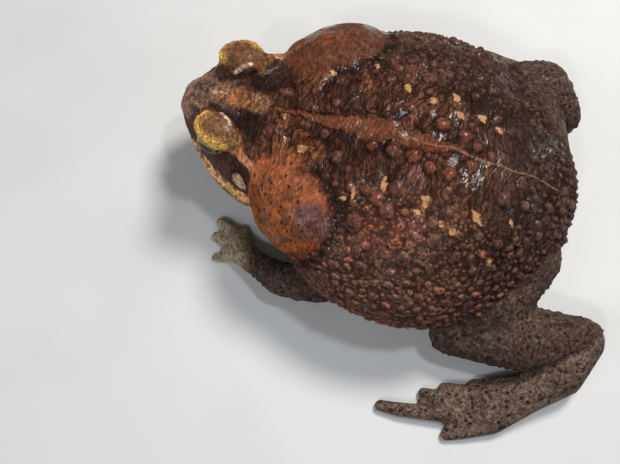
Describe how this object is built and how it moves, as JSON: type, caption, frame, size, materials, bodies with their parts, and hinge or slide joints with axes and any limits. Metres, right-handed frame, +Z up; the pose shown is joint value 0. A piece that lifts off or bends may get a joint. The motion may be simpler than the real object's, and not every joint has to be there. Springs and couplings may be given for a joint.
{
  "type": "cane toad model",
  "caption": "Life-size still model of a large cane toad sitting on the floor, with swollen glands, warty skin and splayed hind foot.",
  "frame": {"origin": "on the floor, at the bottom centre of the whole toad's box", "axes": "+Z up, the toad faces -Y and its left side is +X; its longest side, snout to heel, lies along Y"},
  "size_m": [0.2368, 0.2574, 0.0901],
  "materials": {
    "back_skin": "wet, warty, dark red-brown",
    "head_skin": "wet, ridged, brown with ochre lids",
    "gland_skin": "wet, smooth, orange-brown with pores",
    "limb_skin": "wet, finely warty, grey-brown with dark spots",
    "foot_skin": "damp, grey-brown with dark spots",
    "ear_drum": "smooth, grey-brown",
    "eye": "wet, black pupil with pale gold iris"
  },
  "bodies": {
    "root": {"head": "head_skin", "torso": "back_skin", "eye_left": "eye", "tympanum_left": "ear_drum", "parotoid_left": "gland_skin", "upper_arm_left": "limb_skin", "forearm_left": "limb_skin", "hand_left": "foot_skin", "thigh_left": "limb_skin", "shank_left": "limb_skin", "foot_left": "foot_skin", "eye_right": "eye", "tympanum_right": "ear_drum", "parotoid_right": "gland_skin", "upper_arm_right": "limb_skin", "forearm_right": "limb_skin", "hand_right": "foot_skin", "thigh_right": "limb_skin", "shank_right": "limb_skin", "foot_right": "foot_skin"}
  },
  "joints": []
}
